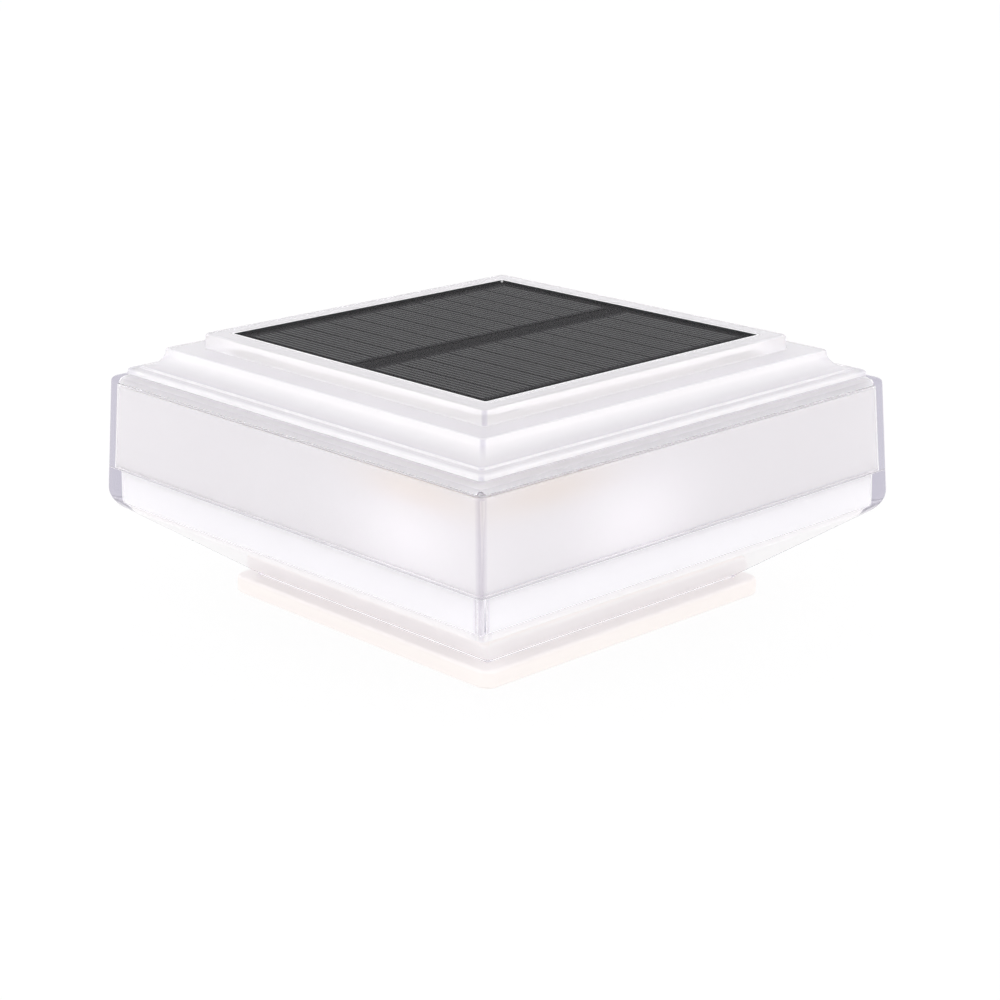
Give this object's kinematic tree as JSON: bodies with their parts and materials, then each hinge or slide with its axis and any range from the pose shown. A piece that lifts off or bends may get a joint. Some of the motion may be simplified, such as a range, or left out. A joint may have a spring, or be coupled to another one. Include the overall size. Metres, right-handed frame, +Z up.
{
  "type": "deck post cap light",
  "caption": "Square solar cap light for a timber deck post: clear stepped body, frosted inside, dark solar panel on top, white lift-off base with a post socket.",
  "frame": {"origin": "centre of the base's underside", "axes": "+Z up through the post and the lamp; the solar panel's middle strip runs along Y; the battery door's hinge lies along X"},
  "size_m": [0.16, 0.16, 0.0778],
  "materials": {
    "base_white": "fine satin, warm white ABS",
    "clear_plastic": "polished clear polycarbonate",
    "frosted_plastic": "milky, evenly frosted",
    "inner_white": "plain white ABS",
    "seal_silicone": "soft grey silicone",
    "panel_backing": "white glass-fibre board",
    "cell_silicon": "dark silicon under resin",
    "clear_resin": "clear epoxy, slightly satin",
    "tinned_copper": "tinned",
    "cell_sleeve": "shrink sleeve",
    "spring_steel": "bright",
    "gasket_rubber": "matt",
    "foam_pad": "closed-cell foam",
    "circuit_board": "green solder mask",
    "black_plastic": "fine matt",
    "ferrite": "matt",
    "capacitor_can": "satin",
    "socket_plastic": "natural nylon",
    "lamp_board": "white mask on aluminium",
    "cool_led": "phosphor under clear resin",
    "warm_led": "phosphor under clear resin",
    "wire_sleeve": "PVC sleeve",
    "screw_steel": "zinc plated"
  },
  "bodies": {
    "base": {"base_collar": "base_white"},
    "lamp": {"clear_housing": "clear_plastic", "lower_tray": "clear_plastic", "deck": "inner_white", "panel_board": "panel_backing", "panel_cover": "clear_resin", "seam_seal": "seal_silicone", "frosted_liner": "frosted_plastic", "panel_tape": "seal_silicone", "panel_tabs": "tinned_copper", "solar_cells": "cell_silicon", "battery_cradle": "inner_white", "battery_cell": "cell_sleeve", "contact_spring": "spring_steel", "contact_plates": "tinned_copper", "door_gasket": "gasket_rubber", "door_pin": "spring_steel", "control_board": "circuit_board", "driver_chip": "black_plastic", "inductor": "ferrite", "capacitor": "capacitor_can", "wire_sockets": "socket_plastic", "switch_body": "black_plastic", "led_board_south": "lamp_board", "led_board_east": "lamp_board", "led_board_north": "lamp_board", "led_board_west": "lamp_board", "cool_leds": "cool_led", "centre_led_board": "lamp_board", "warm_leds": "warm_led", "panel_wires": "wire_sleeve", "battery_wires": "wire_sleeve", "led_wires": "wire_sleeve", "housing_screws": "screw_steel", "board_screws": "screw_steel", "cradle_screws": "screw_steel"},
    "door": {"battery_door": "inner_white", "door_pad": "foam_pad"},
    "slider": {"switch_knob": "black_plastic"}
  },
  "joints": [
    {"name": "lamp_lift", "type": "slide", "parent": "base", "child": "lamp", "axis": [0, 0, 1], "range_m": [0, 0.03]},
    {"name": "battery_door_hinge", "type": "hinge", "parent": "lamp", "child": "door", "pos_m": [0, -0.0138, 0.03], "axis": [-1, 0, 0], "range_deg": [0, 95]},
    {"name": "mode_switch", "type": "slide", "parent": "lamp", "child": "slider", "axis": [1, 0, 0], "range_m": [-0.002, 0.002]}
  ]
}
